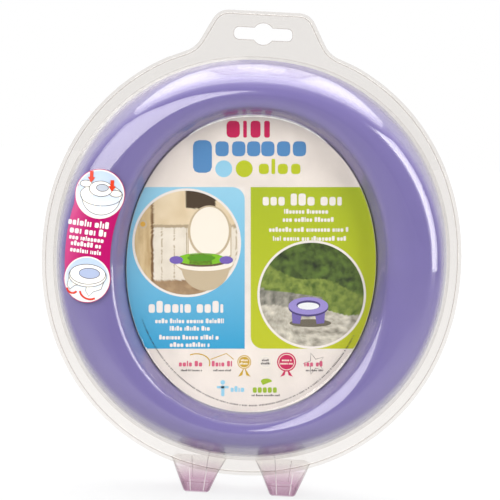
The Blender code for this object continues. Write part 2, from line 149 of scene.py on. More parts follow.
def rounded(corners, steps=8):
    """Straight lines through corners given as (x, z, radius), each corner turned into an arc."""
    points = []
    for i, (x, z, radius) in enumerate(corners):
        corner = Vector((x, z))
        before = (Vector(corners[i - 1][:2]) - corner).normalized()
        after = (Vector(corners[(i + 1) % len(corners)][:2]) - corner).normalized()
        if radius == 0:
            points.append(corner)
            continue
        half = before.angle(after) / 2
        centre = corner + (before + after).normalized() * radius / math.sin(half)
        start = corner + before * radius / math.tan(half) - centre
        end = corner + after * radius / math.tan(half) - centre
        turn = math.atan2(start.cross(end), start.dot(end))
        for step in range(steps + 1):
            c, s = math.cos(turn * step / steps), math.sin(turn * step / steps)
            points.append(centre + Vector((start.x * c - start.y * s, start.x * s + start.y * c)))
    return np.array([tuple(p) for p in points])


def box_outline(left, right, low, high, radius, steps=6):
    radius = min(radius, (right - left) / 2.01, (high - low) / 2.01)
    corners = ((left, low), (right, low), (right, high), (left, high))
    return rounded([(x, z, radius) for x, z in corners], steps)


def circle(x, z, radius, count=64):
    turns = np.arange(count) * math.tau / count
    return pairs(x + radius * np.cos(turns), z + radius * np.sin(turns))


def inset(outline, distance):
    """The outline moved inwards by a distance, along the normals at its points."""
    before, after = np.roll(outline, 1, axis=0), np.roll(outline, -1, axis=0)
    along = after - before
    along /= np.linalg.norm(along, axis=1, keepdims=True)
    return outline + distance * pairs(-along[:, 1], along[:, 0])


def flange_outline():
    lean = math.acos((TAB_BASE_HALF / FLANGE_HALF_WIDTH) ** (OUTLINE_POWER / 2))
    steps = 5 * ROUND // 6
    turns = math.pi - lean + (math.pi + 2 * lean) * np.arange(steps + 1) / steps
    edge = superellipse(FLANGE_HALF_WIDTH, FLANGE_HALF_HEIGHT, turns=turns)
    skipped = 4  # points that the fillets at the tab's foot run over
    corners = [(x, z, 0) for x, z in edge]
    corners = [(*edge[0], TAB_FILLET), *corners[skipped:-skipped], (*edge[-1], TAB_FILLET)]
    corners += [(TAB_TOP_HALF, TAB_TOP, TAB_CORNER), (-TAB_TOP_HALF, TAB_TOP, TAB_CORNER)]
    return rounded(corners)


def slot_outline():
    rise = math.asin(SLOT_HALF_HEIGHT / SLOT_ROUND)
    corners = []
    for side in (1, -1):
        for step in range(17):
            turn = rise + (math.pi - 2 * rise) * step / 16
            x, z = side * SLOT_ROUND * math.cos(turn), side * SLOT_ROUND * math.sin(turn)
            corners.append((x, z, 0))
        corners.append((-side * SLOT_HALF_LENGTH, side * SLOT_HALF_HEIGHT, SLOT_CORNER))
        corners.append((-side * SLOT_HALF_LENGTH, -side * SLOT_HALF_HEIGHT, SLOT_CORNER))
    return rounded(corners) + np.array((0, SLOT_AT))


def smooth_levels(levels, between=5):
    """A curve through the levels, with more levels on it between each two."""
    points = np.array(levels, float)
    ends = np.vstack([2 * points[0] - points[1], points, 2 * points[-1] - points[-2]])
    result = []
    for i in range(1, len(ends) - 2):
        a, b, c, d = ends[i - 1 : i + 3]
        before = np.linalg.norm(b[:3] - a[:3]) ** 0.5
        span = np.linalg.norm(c[:3] - b[:3]) ** 0.5
        after = np.linalg.norm(d[:3] - c[:3]) ** 0.5
        start = (b - a) / before - (c - a) / (before + span) + (c - b) / span
        end = (c - b) / span - (d - b) / (span + after) + (d - c) / after
        for t in np.arange(between) / between:
            ease = (2 * t**3 - 3 * t**2 + 1) * b + (3 * t**2 - 2 * t**3) * c
            result.append(ease + span * ((t**3 - 2 * t**2 + t) * start + (t**3 - t**2) * end))
    result.append(points[-1])
    return np.array(result)


def moved_out(levels, distance):
    """Levels moved out of the skin by a distance, along the profile's normals."""
    across = (levels[:, 0] + levels[:, 1]) / 2
    along = np.gradient(levels[:, 2]), -np.gradient(across)
    length = np.hypot(*along)
    moved = levels.copy()
    moved[:, 0] += distance * along[0] / length
    moved[:, 1] += distance * along[0] / length
    moved[:, 2] += distance * along[1] / length
    return moved


SEAT_LEVELS = smooth_levels(SKIN)


def depth_on(levels, points):
    """How deep the skin lies at each (x, z) point, between the two outlines that hold it."""
    shares = []
    for width, height, _, drop in levels:
        x, z = np.abs(points[:, 0] / width), np.abs((points[:, 1] + drop * DROP) / height)
        shares.append((x**OUTLINE_POWER + z**OUTLINE_POWER) ** (1 / OUTLINE_POWER))
    shares = np.array(shares)
    return np.array([np.interp(1.0, shares[:, i], levels[:, 2]) for i in range(len(points))])


# Meshes


def at(points, depth):
    """Places in the frame of (x, z) points that lie at a depth in front of the seat's back edge."""
    points = np.asarray(points, float)
    depth = np.broadcast_to(depth, len(points))
    return np.stack([points[:, 0], BACK_Y - depth, CENTRE_Z + points[:, 1]], axis=1)


def new_object(name, data):
    obj = bpy.data.objects.new(name, data)
    bpy.context.scene.collection.objects.link(obj)
    return obj


def mesh_object(name, verts, faces, material):
    mesh = bpy.data.meshes.new(name)
    mesh.from_pydata([tuple(v) for v in verts], [], [tuple(f) for f in faces])
    mesh.materials.append(material)
    return new_object(name, mesh)


def place(obj, body, slot, *nodes):
    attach(obj, body)
    if nodes:
        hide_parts(*nodes)


class Shell:
    """Points and faces of one piece while it is built."""

    def __init__(self):
        self.verts, self.faces = [], []

    def add_face(self, face, flip):
        self.faces.append(tuple(face)[::-1] if flip else tuple(face))

    def loft(self, rings, cap=False, base=False, flip=False, closed=True):
        """Faces between rings of points, with the last ring closed by a cap and the first by a base."""
        first, count = sum(map(len, self.verts)), len(rings[0])
        self.verts += list(rings)
        for r in range(len(rings) - 1):
            low = first + r * count
            for i in range(count if closed else count - 1):
                j = (i + 1) % count
                self.add_face((low + i, low + j, low + count + j, low + count + i), flip)
        if cap:
            last = first + (len(rings) - 1) * count
            self.add_face(range(last, last + count), flip)
        if base:
            self.add_face(range(first, first + count), not flip)

    def flat(self, outline, holes, depth, loops=(), flip=False):
        """A skin inside an outline and round holes. Each loop in it has a depth of its own."""
        lines = [(outline, depth), *[(hole, depth) for hole in holes], *loops]
        depths = np.concatenate([np.full(len(line), here) for line, here in lines])
        places, faces, middles, origins = triangles([line for line, _ in lines])
        first = sum(map(len, self.verts))
        self.verts.append(at(places, depths[[origin[0] for origin in origins]]))
        keep = inside(middles, outline)
        for hole in holes:
            keep &= ~inside(middles, hole)
        for face, kept in zip(faces, keep):
            if kept:
                self.add_face([first + i for i in face], flip)

    def plate(self, outline, holes, front, back, edge, loops=(), pockets=()):
        """A plate with round edges between two depths. A pocket is an outline and its floor's depth."""
        quarter = [math.radians(angle) for angle in (0, 30, 60, 90)]
        steps = [(edge * (1 - math.sin(q)), back + edge * (1 - math.cos(q))) for q in quarter]
        steps += [(edge * (1 - math.cos(q)), front - edge * (1 - math.sin(q))) for q in quarter]
        self.loft([at(inset(outline, distance), depth) for distance, depth in steps])
        for hole in holes:
            self.loft([at(inset(hole, -distance), depth) for distance, depth in steps], flip=True)
        open_front = [inset(hole, -edge) for hole in holes]
        self.flat(inset(outline, edge), [*open_front, *[line for line, _ in pockets]], front)
        self.flat(inset(outline, edge), open_front, back, loops, flip=True)
        for line, floor in pockets:
            self.loft([at(line, front), at(inset(line, 0.0007), floor)], cap=True)

    def band(self, outline, start, width, depth):
        """A thin flat line that follows an outline."""
        self.loft([at(inset(outline, start), depth), at(inset(outline, start + width), depth)])

    def build(self, name, material, sharp=35):
        """The smooth piece, with its touching points joined and edges past an angle in degrees sharp."""
        obj = mesh_object(name, np.vstack(self.verts), self.faces, material)
        mesh = obj.data
        mesh.validate()
        bm = bmesh.new()
        bm.from_mesh(mesh)
        bmesh.ops.remove_doubles(bm, verts=bm.verts, dist=2e-6)
        bm.to_mesh(mesh)
        bm.free()
        mesh.shade_smooth()
        mesh.set_sharp_from_angle(angle=math.radians(sharp))
        return obj


def inside(points, outline):
    """Which points have the outline cross an odd number of times to their right."""
    x, z = points[:, 0][:, None], points[:, 1][:, None]
    ax, az = outline[:, 0], outline[:, 1]
    bx, bz = np.roll(ax, -1), np.roll(az, -1)
    spans = (az > z) != (bz > z)
    rise = np.where(bz == az, 1e-12, bz - az)
    return (spans & (x < ax + (bx - ax) * (z - az) / rise)).sum(axis=1) % 2 == 1


def triangles(lines, loose=()):
    """Flat faces between closed lines and loose points, with their middles and the points' sources."""
    points, edges = [], []
    for line in lines:
        first = len(points)
        points += [Vector(p) for p in line]
        edges += [(first + i, first + (i + 1) % len(line)) for i in range(len(line))]
    points += [Vector(p) for p in loose]
    places, _, faces, origins, _, _ = delaunay_2d_cdt(points, edges, [], 0, 1e-8)
    places = np.array([tuple(p) for p in places])
    middles = np.array([places[list(face)].mean(axis=0) for face in faces])
    return places, faces, middles, origins


def apply_modifiers(obj):
    solid = bpy.data.meshes.new_from_object(obj.evaluated_get(bpy.context.evaluated_depsgraph_get()))
    obj.modifiers.clear()
    obj.data = solid


def thicken(obj, thickness, offset):
    modifier = obj.modifiers.new("Thickness", "SOLIDIFY")
    modifier.thickness = thickness
    modifier.offset = offset
    modifier.use_even_offset = True
    apply_modifiers(obj)
    obj.data.set_sharp_from_angle(angle=math.radians(35))


# Materials


def linear(red, green, blue):
    """A colour given as 0 to 255, turned into the shader's linear numbers."""
    return [((c / 255 + 0.055) / 1.055) ** 2.4 if c > 10 else c / 255 / 12.92 for c in (red, green, blue)]


def node(tree, kind, **values):
    """A new shader node. A value called in_ and a socket's name or number is that input's value."""
    made = tree.nodes.new("ShaderNode" + kind)
    for key, value in values.items():
        socket = key[3:].replace("_", " ")
        if key.startswith("in_"):
            made.inputs[int(socket) if socket.isdigit() else socket].default_value = value
        else:
            setattr(made, key, value)
    return made


def join(tree, *links):
    """Each link is a node and its output, and then the node and the input that it feeds."""
    for giver, output, taker, socket in links:
        tree.links.new(giver.outputs[output], taker.inputs[socket])


def textures(tree, *kinds):
    """Noise in the object's own space, one texture for each scale and detail."""
    place_node = node(tree, "TexCoord")
    made = [node(tree, "TexNoise", in_Scale=scale, in_Detail=detail) for scale, detail in kinds]
    join(tree, *[(place_node, "Object", texture, "Vector") for texture in made])
    return made


def add_bump(tree, texture, strength, distance, *takers):
    relief = node(tree, "Bump", in_Strength=strength, in_Distance=distance)
    join(tree, (texture, "Fac", relief, "Height"))
    join(tree, *[(relief, "Normal", taker, "Normal") for taker in takers])


def colour_ramp(tree, *stops):
    """A ramp through two or more stops, each a position and a colour."""
    made = node(tree, "ValToRGB")
    elements = made.color_ramp.elements
    for position, _ in stops[1:-1]:
        elements.new(position)
    for element, (position, colour) in zip(elements, stops):
        element.position, element.color = position, (*colour, 1)
    return made


def ramp_along(tree, source, output, axis, start, end, *stops):
    """A ramp that runs from one place to another along an axis of the source's coordinates."""
    spread = node(tree, "SeparateXYZ")
    share = node(tree, "MapRange", in_From_Min=start, in_From_Max=end)
    made = colour_ramp(tree, *stops)
    join(tree, (source, output, spread, "Vector"), (spread, axis, share, "Value"))
    join(tree, (share, "Result", made, "Fac"))
    return made


def new_material(name):
    material = bpy.data.materials.new(name)
    material.use_nodes = True
    tree = material.node_tree
    tree.nodes.clear()
    return material, tree, node(tree, "OutputMaterial")


def surface_material(name, colour, roughness, grain=900.0, bump=0.05, vary=0.06, **sockets):
    """A Principled finish with a fine bumped grain and slow changes of colour and roughness."""
    material, tree, output = new_material(name)
    shader = node(tree, "BsdfPrincipled", **sockets)
    slow, fine = textures(tree, (60.0, 3.0), (grain, 2.0))
    low, high = [max(0, c * (1 - vary)) for c in colour], [min(1, c * (1 + vary)) for c in colour]
    shade = colour_ramp(tree, (0.3, low), (0.7, high))
    gloss = node(tree, "MapRange", in_To_Min=roughness * 0.85, in_To_Max=min(1, roughness * 1.15))
    join(tree, (slow, "Fac", shade, "Fac"), (shade, "Color", shader, "Base Color"),
         (slow, "Fac", gloss, "Value"), (gloss, "Result", shader, "Roughness"),
         (shader, "BSDF", output, "Surface"))
    add_bump(tree, fine, bump, 0.0002, shader)
    return material


def print_material(name, roughness, coat):
    """Ink on board: the colour is the mesh's own, broken up a little by the board's fibres."""
    material, tree, output = new_material(name)
    shader = node(tree, "BsdfPrincipled", in_Roughness=roughness, in_Coat_Weight=coat,
                  in_Coat_Roughness=0.08, in_Specular_IOR_Level=0.12)
    ink = node(tree, "Attribute", attribute_name="ink")
    (fibres,) = textures(tree, (1400.0, 3.0))
    tone = node(tree, "MapRange", in_To_Min=0.94, in_To_Max=1.04)
    mix = node(tree, "VectorMath", operation="SCALE")
    join(tree, (fibres, "Fac", tone, "Value"), (ink, "Color", mix, 0), (tone, "Result", mix, "Scale"),
         (mix, "Vector", shader, "Base Color"), (shader, "BSDF", output, "Surface"))
    add_bump(tree, fibres, 0.04, 0.0001, shader)
    return material


def clear_material(name, tint, haze, painted_foot_shade=None):
    """Thin clear sheet: seen straight through, shiny at a slant, with a little milkiness."""
    material, tree, output = new_material(name)
    through = node(tree, "BsdfTransparent", in_Color=(*tint, 1))
    shine = node(tree, "BsdfGlossy", in_Roughness=0.05)
    milk = node(tree, "BsdfDiffuse", in_Color=(0.93, 0.91, 0.89, 1))
    slant = node(tree, "LayerWeight")
    (ripple,) = textures(tree, (38.0, 2.0))
    add_bump(tree, ripple, 0.04, 0.0004, shine, slant)
    steep = node(tree, "Math", operation="POWER", in_1=5.0)
    mirror = node(tree, "Math", operation="MULTIPLY_ADD", in_1=0.6, in_2=0.03)
    body = node(tree, "MixShader", in_Fac=haze)
    mix = node(tree, "MixShader")
    join(tree, (slant, "Facing", steep, 0), (steep, "Value", mirror, 0), (mirror, "Value", mix, "Fac"),
         (through, "BSDF", body, 1), (milk, "BSDF", body, 2), (body, "Shader", mix, 1),
         (shine, "BSDF", mix, 2), (mix, "Shader", output, "Surface"))
    # Painted shade: the feet's sheet darkens to a purple cast at the floor and clears 13 mm up.
    if painted_foot_shade:
        place_node = tree.nodes["Texture Coordinate"]
        fade = ramp_along(tree, place_node, "Object", "Z", 0.0, 0.013, (0, painted_foot_shade), (1, tint))
        join(tree, (fade, "Color", through, "Color"))
    return material


seat_plastic = surface_material("seat_plastic_look", linear(118, 109, 168), 0.16, bump=0.02, vary=0.02,
                                in_Specular_IOR_Level=0.65)
frame_plastic = surface_material("frame_plastic_look", linear(98, 86, 160), 0.38, grain=1500, bump=0.12)
steel = surface_material("steel_look", (0.55, 0.55, 0.57), 0.3, grain=2500, bump=0.05, in_Metallic=1.0)
rubber = surface_material("rubber_look", (0.03, 0.028, 0.034), 0.75, grain=1800, bump=0.5)
liner_film = surface_material("liner_film_look", linear(226, 234, 228), 0.5, grain=700, bump=0.3)
bag_cloth = surface_material("bag_cloth_look", linear(74, 66, 122), 0.85, 2200, 0.6, in_Sheen_Weight=0.3)
thread = surface_material("thread_look", linear(158, 148, 206), 0.7, grain=3000, bump=0.4)
board = surface_material("board_look", linear(230, 223, 217), 0.5, 1400, 0.06, in_Specular_IOR_Level=0.15)
board_print = print_material("board_print_look", 0.5, 0.03)
label_print = print_material("label_print_look", 0.35, 0.15)
clear_sheet = clear_material("clear_sheet_look", (0.974, 0.966, 0.958), 0.006)
# The feet's sheet, with painted shade near the floor.
foot_sheet = clear_material("foot_sheet_look", (0.97, 0.955, 0.945), 0.012, (0.82, 0.69, 0.775))
# Whitish sheet for the feet's flutes: painted highlights along the ridges.
flute_highlight_sheet = clear_material("milky_sheet_look", (0.94, 0.91, 0.92), 0.3)
# Darker clear sheet for the edge bands: painted shade along the bead and the cut edges.
edge_shade_sheet = clear_material("sheet_edge_look", (0.80, 0.76, 0.73), 0.10)


# The seat


def make_seat():
    shell = Shell()
    shell.loft([at(superellipse(w, h, drop), depth) for w, h, depth, drop in SEAT_LEVELS])
    ring = shell.build("seat_ring", seat_plastic)
    thicken(ring, SEAT_WALL, -1)
    place(ring, "seat", "seat_plastic", "seat_shell")


# The pack


def foot_levels(side, start, end):
    """A formed foot's sides and bottom, from its open end at the flange to its far wall."""
    rings = []
    for share, draft in ((0, 0.0), (0.15, 0.0004), (0.92, 0.0010), (0.98, 0.0015), (1.0, 0.0026)):
        top, bottom = FOOT_TOP_HALF - draft, FOOT_BOTTOM_HALF - draft
        low = max(0, draft - 0.0012) - CENTRE_Z
        middle, flare = side * FOOT_AT, 0.0022 * (1 - share) ** 2
        corners = [(middle - bottom, low, 0.0025), (middle + bottom, low, 0.0025)]
        corners += [(middle + top, FOOT_TOP, 0), (middle - top, FOOT_TOP, 0)]
        line = np.roll(rounded(corners), 1, axis=0)
        line[:, 0] += flare * np.sign(line[:, 0] - middle) * (line[:, 1] + CENTRE_Z) / (FOOT_TOP + CENTRE_Z)
        rings.append(at(line, start + (end - start) * share))
    return rings


def make_feet(name, body, start, end):
    feet, ridges = Shell(), Shell()
    flip = end < start
    for side in (-1, 1):
        feet.loft(foot_levels(side, start, end), cap=True, flip=flip, closed=False)
        for across, lean in ((-0.0035, -0.0012), (0.0042, 0.0014)):
            x, low, high, half = side * FOOT_AT + across, 0.0012 - CENTRE_Z, FOOT_TOP - 0.001, 0.0003
            line = ((x - half, low), (x + half, low), (x + lean + half, high), (x + lean - half, high))
            ridges.loft([at(line, end), at(line, end + (-0.0002 if flip else 0.0002))], cap=True, flip=flip)
    feet = feet.build(f"clear_{name}_feet", foot_sheet, sharp=40)
    thicken(feet, SHEET, -1)
    place(feet, body, "clear_sheet")
    # The flutes are drawn in a whitish sheet as painted highlights.
    place(ridges.build(f"clear_{name}_foot_flutes", flute_highlight_sheet), body, "clear_sheet")


def add_flange(shell, opening, depth, flip=False):
    """The flat rim and hang tab, with a raised bead inside the edge."""
    edge = flange_outline()
    lifts = enumerate((0, 0.0005, 0.0005, 0))
    bead = [(inset(edge, 0.0019 + 0.0003 * i), depth + lift) for i, lift in lifts]
    shell.flat(edge, [slot_outline(), opening], depth, bead, flip)


def make_sheet_lines(name, body, opening, depth):
    """The sheet's cut edges and folds as thin darker bands: painted shade for the dark lines that the bead
    and the edges show.
    """
    lines = Shell()
    edge = flange_outline()
    lines.band(edge, 0.0021, 0.00035, depth + 0.0003)
    lines.band(slot_outline(), -0.0003, 0.0003, depth)
    lines.band(opening, -0.0004, 0.0004, depth)
    place(lines.build(f"clear_{name}_edges", edge_shade_sheet), body, "clear_sheet")


def make_front_blister():
    levels = moved_out(SEAT_LEVELS, SHEET_GAP)
    inner_wall = (levels[:, 0] < 0.08) & (levels[:, 2] < 0.0335)
    levels = levels[(levels[:, 2] > 0.006) & ~inner_wall]
    flange_depth = BACK_Y - PACK_HIGH.y
    base = superellipse(*WALL_BASE)
    rings = [at(base, flange_depth)]
    rings += [at(superellipse(w, h, drop), depth) for w, h, depth, drop in levels]
    for share, lift in WINDOW_STEPS:
        rings.append(at(superellipse(PANEL[0] * share, PANEL[1] * share, 1), CARD_FRONT + 0.0003 + lift))
    shell = Shell()
    shell.loft(rings, cap=True)
    add_flange(shell, base, flange_depth)
    blister = shell.build("clear_front", clear_sheet, sharp=30)
    thicken(blister, SHEET, 1)
    place(blister, "pack_front", "clear_sheet", "front_blister")
    make_sheet_lines("front", "pack_front", base, flange_depth + SHEET + 0.0001)
    make_feet("front", "pack_front", flange_depth, FOOT_FRONT)


def make_rear_frame():
    depth = BACK_Y - REAR_LOW.y - SHEET
    opening = superellipse(0.1175, 0.1199)
    shell = Shell()
    add_flange(shell, opening, depth)
    rear = shell.build("clear_rear", clear_sheet, sharp=30)
    thicken(rear, SHEET, 1)
    place(rear, "pack_rear", "clear_sheet", "rear_frame")
    make_sheet_lines("rear", "pack_rear", opening, depth - 0.0001)
    make_feet("rear", "pack_rear", depth, BACK_Y - REAR_HIGH.y)


# Legs and soft goods


def leg_line(points, side):
    """Points measured from the hinge axis, as (distance, height), turned to the seat's side."""
    points = np.asarray(points, float)
    turned = pairs(side * (HINGE_X - points[:, 0]), points[:, 1])
    return turned if side < 0 else turned[::-1]


def leg_box(near, far, low, high, radius, side):
    return leg_line(box_outline(near, far, low, high, radius), side)


def mirrored(half, side):
    """A leg's outline from the corners of its upper half."""
    return leg_line(rounded([(u, -v, r) for u, v, r in half] + half[::-1]), side)


def make_leg(side, name):
    front = -HINGE_BEHIND + LEG_HALF
    back = -HINGE_BEHIND - LEG_HALF
    barrel = 0.0301  # half the length of the hinge's barrel
    half = [(0.0, barrel, 0.0), (0.0072, barrel, 0.0), (0.0095, 0.043, 0.004)]
    outline = mirrored([*half, (0.042, 0.078, 0.022), (0.094, 0.069, 0.015)], side)
    field = mirrored([(0.016, 0.038, 0.006), (0.044, 0.070, 0.018), (0.0885, 0.0625, 0.010)], side)
    hole = leg_box(0.062, 0.084, -0.040, 0.040, 0.0104, side)
    loops = [(inset(field, 0.0005 * i), back + lift) for i, lift in enumerate((0, 0.0005, 0.0005, 0))]
    pockets = []
    for end in (-1, 1):
        low, high = sorted((end * 0.004, end * 0.046))
        pockets.append((leg_box(0.012, 0.034, low, high, 0.004, side), back + 0.003))
    shell = Shell()
    shell.plate(outline, [hole], front, back, 0.0012, loops, pockets)
    for end in (-1, 1):
        for middle in (0.0145, 0.0250, 0.0355):
            rib = leg_box(0.0125, 0.0335, end * middle - 0.0006, end * middle + 0.0006, 0.0005, side)
            shell.plate(rib, [], front - 0.0012, back + 0.003, 0.0003)
    rings, edge, count = [], 0.0006, 48
    for z, shrink in ((-barrel, edge), (edge - barrel, 0), (barrel - edge, 0), (barrel, edge)):
        x, y = circle(side * HINGE_X, HINGE_Y, LEG_HALF - shrink, count).T
        rings.append(np.stack([x, y, np.full(count, CENTRE_Z + z)], axis=1))
    shell.loft(rings, cap=True, base=True)
    place(shell.build(f"{name}_moulding", seat_plastic, sharp=40), name, "leg_plastic", name)


def make_rubber(side, name):
    """The ribbed grip strip of one leg."""
    body = f"{name}_leg"
    front = -HINGE_BEHIND + LEG_HALF + 0.0003
    shell = Shell()
    shell.plate(leg_box(0.038, 0.052, -0.045, 0.045, 0.004, side), [], front + 0.0006, front, 0.0002)
    for step in range(13):
        middle = -0.039 + 0.0065 * step
        rib = leg_box(0.0395, 0.0505, middle - 0.0013, middle + 0.0013, 0.0012, side)
        shell.plate(rib, [], front + 0.0009, front + 0.0004, 0.0002)
    place(shell.build(f"{name}_grip_ribs", rubber), body, "grip_rubber", f"{name}_grip_strip")


def puff(obj, middle, half):
    """Blows a soft piece up a little as cloth with some slack in it, inside its box."""
    even = obj.modifiers.new("Even", "REMESH")
    even.voxel_size = 0.0024
    even.use_smooth_shade = True
    settings = obj.modifiers.new("Puff", "CLOTH").settings
    settings.use_pressure = True
    settings.uniform_pressure_force = 0.6
    settings.shrink_min = -0.12
    settings.bending_stiffness = 0.1
    settings.effector_weights.gravity = 0
    for step in range(1, 21):
        bpy.context.scene.frame_set(step)
    apply_modifiers(obj)
    bpy.context.scene.frame_set(1)
    points = np.empty(len(obj.data.vertices) * 3)
    obj.data.vertices.foreach_get("co", points)
    half = np.array(half) - (0.0008, 0.0001, 0.0008)
    share = (points.reshape(-1, 3) - np.array(middle)) / half
    reach, full = np.abs(share), 0.85  # past this share of the box, the shape is eased in
    eased = full + (1 - full) * np.tanh((reach - full) / (1 - full))
    share = np.sign(share) * np.where(reach > full, eased, reach)
    obj.data.vertices.foreach_set("co", (np.array(middle) + share * half).ravel())


def press_seams(obj, middle, half, seams):
    """Sinks the sewn and folded lines into both faces of a soft piece."""
    for vertex in obj.data.vertices:
        across, thick, up = vertex.co - middle
        across, up = across / half.x, up / half.z
        depth = sum(0.42 * math.exp(-(((up - seam) / 0.014) ** 2)) for seam in seams)
        depth += 0.20 * math.exp(-(((max(abs(across), abs(up)) - 0.9) / 0.014) ** 2))
        vertex.co.y = middle.y + thick * (1 - depth)


def make_pad(name, node_name, material, crown, seams, slot_name, simulated=False, stitched=False):
    """A soft folded piece: crowned faces, rolled edges that pull in between the corners, and seams."""
    middle, half = middle_and_half(node_name)
    size, roll = (0.93, 0.04) if simulated else (1.0, 0.10)  # cloth swells from a smaller, flatter slab
    grid_u, grid_v = np.meshgrid(np.linspace(-1, 1, 61), np.linspace(-1, 1, 71))
    corner = 1 - np.abs(grid_u) ** 4 * np.abs(grid_v) ** 4 * 0.07
    x = size * grid_u * (half.x - 0.0003) * corner * (1 - 0.018 * (1 - grid_v**2))
    z = size * grid_v * (half.z - 0.0003) * corner * (1 - 0.014 * (1 - grid_u**2))
    edge = np.clip((1 - np.maximum(np.abs(grid_u), np.abs(grid_v))) / roll, 0, 1)
    swell = np.sqrt(1 - (1 - edge) ** 2)
    if simulated:
        thick = 0.7 * half.y * swell
    else:
        spots = zip(x.ravel(), z.ravel())
        wrinkle = [noise.fractal(Vector((a * 60, 3.1, b * 60)), 0.9, 2.0, 3) for a, b in spots]
        thick = half.y * swell * (crown + (1 - crown) * (1 - 0.5 * (grid_u**2 + grid_v**2)))
        thick *= 1 - 0.10 * np.clip(np.array(wrinkle).reshape(x.shape), 0, 1)
        thick = np.minimum(thick, half.y)
    shell = Shell()
    for sign in (-1, 1):
        rows = np.stack([middle.x + x, middle.y + sign * thick, middle.z + z], axis=2)
        shell.loft(list(rows), flip=sign > 0, closed=False)
    pad = shell.build(name, material, sharp=180)
    if simulated:
        puff(pad, middle, half)
        pad.modifiers.new("Smooth", "SUBSURF")
    press_seams(pad, middle, half, seams)
    if stitched:
        make_stitches(pad, middle, half)
    place(pad, "pack_front", slot_name, node_name)


def make_stitches(bag, middle, half):
    """Rows of thread on the bag's outer face: two along its top, one at its bottom, one down each side."""
    bpy.context.view_layer.update()
    view = bpy.context.evaluated_depsgraph_get()
    shell, length, width, pitch = Shell(), 0.0021, 0.0004, 0.0031
    stitches = []
    for step in range(-14, 15):
        stitches += [(step * pitch, row * half.z, length, width) for row in (0.735, 0.76, -0.88)]
    for step in range(-15, 13):
        stitches += [(side * 0.84 * half.x, step * pitch, width, length) for side in (-1, 1)]
    for x, z, wide, high in stitches:
        hit, spot, _, _ = bag.ray_cast((x, BACK_Y, middle.z + z), (0, -1, 0), depsgraph=view)
        if hit:
            z += middle.z - CENTRE_Z
            outline = box_outline(x - wide / 2, x + wide / 2, z - high / 2, z + high / 2, width / 2, 2)
            depth = BACK_Y - spot.y
            rings = [at(outline, depth + 0.0002), at(outline, depth - 0.0001)]
            shell.loft([*rings, at(inset(outline, 0.0001), depth - 0.0002)], cap=True, flip=True)
    place(shell.build("travel_bag_stitches", thread), "pack_front", "bag_fabric")


# Printing: flat coloured shapes, each on a numbered layer just in front of the sheet


class Print:
    def __init__(self, depth_at, turn=0.0, centre=(0, 0), step=0.00003):
        self.depth_at, self.step = depth_at, step
        self.set_frame(turn, centre)
        self.verts, self.faces, self.colours = [], [], []

    def set_frame(self, turn, centre):
        """What is drawn next is turned anticlockwise about its origin, which lies at the centre."""
        self.turn = np.array([[math.cos(turn), math.sin(turn)], [-math.sin(turn), math.cos(turn)]])
        self.centre = np.array(centre)

    def add(self, points, faces, colours, layer):
        """Shapes in the print's own (x, z) places, with one colour or one for each point."""
        points = np.asarray(points, float) @ self.turn + self.centre
        first = sum(map(len, self.verts))
        self.verts.append(at(points, self.depth_at(points) + layer * self.step))
        self.faces += [tuple(first + i for i in face) for face in faces]
        self.colours.append(np.broadcast_to(colours, (len(points), 3)))

    def fill(self, outline, paint, layer=1, grid=None):
        """A filled outline. Paint is a colour, or a function from points to colours."""
        outline, loose = np.asarray(outline, float), ()
        if grid:
            low, high = outline.min(axis=0), outline.max(axis=0)
            x, z = np.meshgrid(np.arange(low[0], high[0], grid), np.arange(low[1], high[1], grid))
            loose = pairs(x.ravel(), z.ravel())
            loose = loose[inside(loose, outline)]
        places, faces, middles, _ = triangles([outline], loose)
        faces = [face for face, kept in zip(faces, inside(middles, outline)) if kept]
        self.add(places, faces, paint(places) if callable(paint) else paint, layer)

    def disc(self, x, z, radius, paint, layer, rings=30, count=96):
        """A painted round picture: paint gets places from -1 to 1 across the disc."""
        points = [np.zeros((1, 2))]
        for ring in range(1, rings + 1):
            points.append(circle(0, 0, ring / rings, count))
        points = np.vstack(points)
        faces = [(0, 1 + i, 1 + (i + 1) % count) for i in range(count)]
        for ring in range(rings - 1):
            low = 1 + ring * count
            for i in range(count):
                j = (i + 1) % count
                faces.append((low + i, low + count + i, low + count + j, low + j))
        self.add(points * radius + np.array((x, z)), faces, paint(points), layer)

    def bar(self, x, z, width, height, colour, layer=2):
        corner = min(width, height) * 0.3
        outline = box_outline(x - width / 2, x + width / 2, z - height / 2, z + height / 2, corner, 2)
        self.add(outline, [range(len(outline))], colour, layer)

    def words(self, x, z, width, height, colour, layer=2, seed=1):
        """A line of small plain blocks that fills the place of a line of letters."""
        draw = random.Random(seed)
        left, right, letter = x - width / 2, x + width / 2, height * 0.52
        while left < right - letter / 2:
            for _ in range(draw.randint(3, 8)):
                if left > right - letter / 2:
                    break
                wide = min(letter * draw.choice((0.45, 1.0, 1.0, 1.15)), right - left)
                high = height * draw.choice((0.72, 0.72, 0.72, 1.0))
                self.bar(left + wide / 2, z - (height - high) / 2, wide, high, colour, layer)
                left += wide + height * 0.14
            left += height * 0.36

    def blocks(self, low, high, spans, colour, layer=1):
        """Rounded blocks between two heights, each given with its left and right side."""
        for left, right in spans:
            self.bar((left + right) / 2, (low + high) / 2, right - left, high - low, colour, layer)

    def stroke(self, line, width, colour, layer=4, closed=False):
        line = np.asarray(line, float)
        before, after = np.roll(line, 1, axis=0), np.roll(line, -1, axis=0)
        if not closed:
            before[0], after[-1] = line[0], line[-1]
        along = after - before
        along /= np.maximum(np.linalg.norm(along, axis=1, keepdims=True), 1e-12)
        side = pairs(-along[:, 1], along[:, 0]) * width / 2
        points, count = np.vstack([line - side, line + side]), len(line)
        last = count if closed else count - 1
        faces = [(i, (i + 1) % count, count + (i + 1) % count, count + i) for i in range(last)]
        self.add(points, faces, colour, layer)


